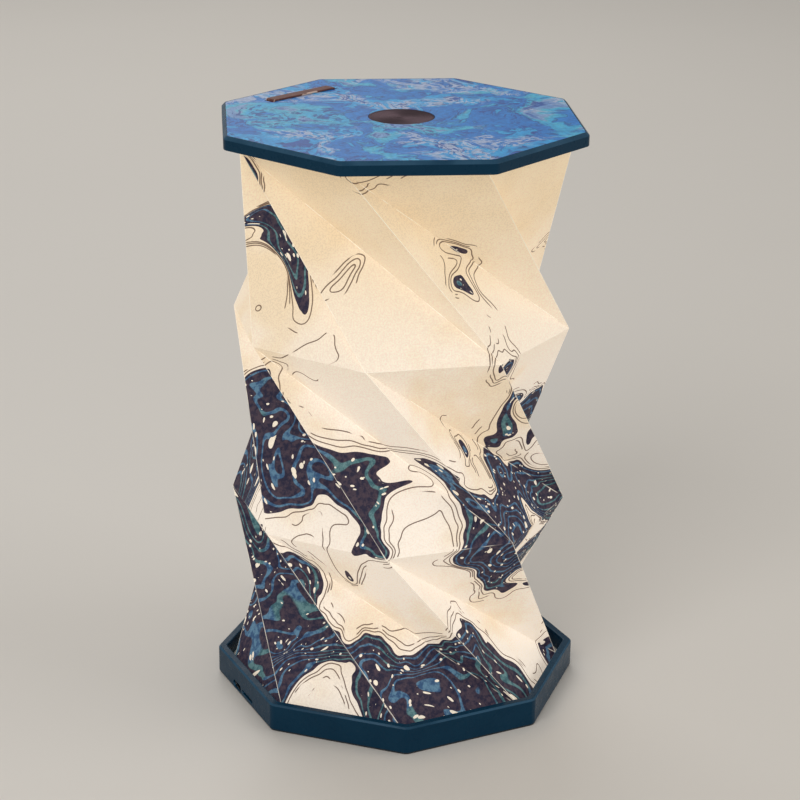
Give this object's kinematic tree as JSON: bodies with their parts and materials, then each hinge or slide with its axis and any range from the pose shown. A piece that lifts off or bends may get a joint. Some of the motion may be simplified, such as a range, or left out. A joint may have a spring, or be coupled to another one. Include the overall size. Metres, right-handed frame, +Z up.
{
  "type": "folding table lamp",
  "caption": "Octagonal folding lamp: a twisted paper shade collapses between a lid with a strap and a shallow tray holding the light, battery, charging inlet and slide switch.",
  "frame": {"origin": "on the lamp's axis, at the underside of the non-slip pad that it stands on", "axes": "+Z up along the axis that the lid lifts and turns on; -X towards the tray's side with the charging inlet and the switch; the tray's flats are square to X and Y"},
  "size_m": [0.1724, 0.1724, 0.2766],
  "materials": {
    "navy_plastic": "satin moulded plastic, deep navy",
    "pad_rubber": "matt non-slip sheet",
    "white_plastic": "plain white moulding",
    "screw_steel": "plated steel",
    "magnet_nickel": "nickel-plated magnet",
    "battery_foil": "foil pouch",
    "board_green": "solder-masked board",
    "black_plastic": "black moulding",
    "lead_red": "insulated lead",
    "lead_white": "insulated lead",
    "inlet_steel": "drawn steel shell",
    "knob_black": "ribbed black moulding",
    "light_board_white": "white-coated aluminium board",
    "led_phosphor": "yellow phosphor",
    "diffuser_milk": "milky diffusing plastic",
    "frame_card": "pressed card",
    "shade_paper": "cream paper, inked with marbled blues, lit from inside",
    "marbled_sheet": "satin printed sheet, marbled blues",
    "bronze_disc": "dark bronze, turned",
    "strap_leather": "reddish brown leather"
  },
  "bodies": {
    "base": {"tray": "navy_plastic", "nonslip_pad": "pad_rubber", "deck": "white_plastic", "tray_screws": "screw_steel", "tray_magnets": "magnet_nickel", "battery_cell": "battery_foil", "main_board": "board_green", "board_parts": "black_plastic", "battery_leads": "lead_red", "light_leads": "lead_white", "inlet_shell": "inlet_steel", "inlet_tongue": "black_plastic", "switch_housing": "inlet_steel", "light_board": "light_board_white", "leds": "led_phosphor", "diffuser_cap": "diffuser_milk", "lower_paper_frame": "frame_card", "paper_shade": "shade_paper"},
    "switch": {"switch_knob": "knob_black"},
    "swivel": {"centre_disc": "bronze_disc", "swivel_washer": "screw_steel", "swivel_screw": "screw_steel"},
    "lid": {"upper_paper_frame": "frame_card", "lid_lining": "white_plastic", "lid_shell": "navy_plastic", "top_sheet": "marbled_sheet", "lid_screws": "screw_steel", "lid_magnets": "magnet_nickel"},
    "strap": {"carry_strap": "strap_leather", "strap_anchors": "black_plastic"}
  },
  "joints": [
    {"name": "lid_lift", "type": "slide", "parent": "base", "child": "swivel", "axis": [0, 0, 1], "range_m": [-0.2553, 0], "deforming": ["paper_shade"]},
    {"name": "lid_twist", "type": "hinge", "parent": "swivel", "child": "lid", "pos_m": [0, 0, 0.27], "axis": [0, 0, 1], "range_deg": [-114.1, 0]},
    {"name": "switch_slide", "type": "slide", "parent": "base", "child": "switch", "axis": [0, 1, 0], "range_m": [0, 0.006]},
    {"name": "strap_lift", "type": "slide", "parent": "lid", "child": "strap", "axis": [0, 0, 1], "range_m": [0, 0.0023]}
  ],
  "couplings": [
    {"joint": "lid_twist", "follows": "lid_lift", "rad_per_m": 7.7935}
  ]
}
